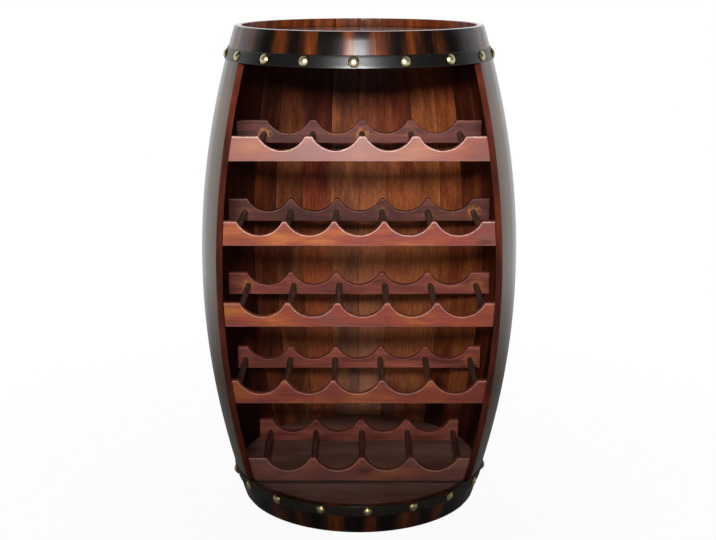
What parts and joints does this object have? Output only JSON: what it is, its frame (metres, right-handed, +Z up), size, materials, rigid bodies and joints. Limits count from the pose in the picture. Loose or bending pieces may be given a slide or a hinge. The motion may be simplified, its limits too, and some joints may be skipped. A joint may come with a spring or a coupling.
{
  "type": "barrel bottle rack",
  "caption": "Upright coopered barrel with an open front, two riveted iron hoops and tiers of paired scalloped rails that hold bottles lying down.",
  "frame": {"origin": "on the floor under the middle of the bounding box", "axes": "+Z up along the barrel, -Y out of the opening, +X to the right of someone facing the back of the rack from the opening"},
  "size_m": [0.503, 0.461, 0.76],
  "materials": {
    "lacquered_stave": "dark walnut stain shaded to near black along the joints, under glossy lacquer",
    "black_iron": "thin hoop iron, blackened, satin",
    "red_stained_pine": "red mahogany stain on planed pine, satin, edges rubbed pale",
    "dark_stained_pine": "the same stain, darker and purplish, satin, on the rear rails and their dowels",
    "stained_board": "dark red-brown stain, satin",
    "antique_brass": "rivet heads, aged brass, worn bright on the dome"
  },
  "bodies": {
    "root": {"stave_01": "lacquered_stave", "stave_02": "lacquered_stave", "stave_03": "lacquered_stave", "stave_04": "lacquered_stave", "stave_05": "lacquered_stave", "stave_06": "lacquered_stave", "stave_07": "lacquered_stave", "stave_08": "lacquered_stave", "stave_09": "lacquered_stave", "stave_10": "lacquered_stave", "stave_11": "lacquered_stave", "stave_12": "lacquered_stave", "stave_13": "lacquered_stave", "stave_14": "lacquered_stave", "stave_15": "lacquered_stave", "stave_16": "lacquered_stave", "stave_17": "lacquered_stave", "stave_18": "lacquered_stave", "stave_19": "lacquered_stave", "stave_20": "lacquered_stave", "upper_short_stave_1": "lacquered_stave", "upper_short_stave_2": "lacquered_stave", "upper_short_stave_3": "lacquered_stave", "upper_short_stave_4": "lacquered_stave", "upper_short_stave_5": "lacquered_stave", "upper_short_stave_6": "lacquered_stave", "upper_short_stave_7": "lacquered_stave", "upper_short_stave_8": "lacquered_stave", "upper_short_stave_9": "lacquered_stave", "lower_short_stave_1": "lacquered_stave", "lower_short_stave_2": "lacquered_stave", "lower_short_stave_3": "lacquered_stave", "lower_short_stave_4": "lacquered_stave", "lower_short_stave_5": "lacquered_stave", "lower_short_stave_6": "lacquered_stave", "lower_short_stave_7": "lacquered_stave", "lower_short_stave_8": "lacquered_stave", "lower_short_stave_9": "lacquered_stave", "upper_hoop": "black_iron", "lower_hoop": "black_iron", "top_head": "stained_board", "floor_board": "stained_board", "front_rail_1": "red_stained_pine", "front_rail_2": "red_stained_pine", "front_rail_3": "red_stained_pine", "front_rail_4": "red_stained_pine", "front_rail_5": "red_stained_pine", "rear_rail_1": "dark_stained_pine", "rear_rail_2": "dark_stained_pine", "rear_rail_3": "dark_stained_pine", "rear_rail_4": "dark_stained_pine", "rear_rail_5": "dark_stained_pine"}
  },
  "joints": []
}
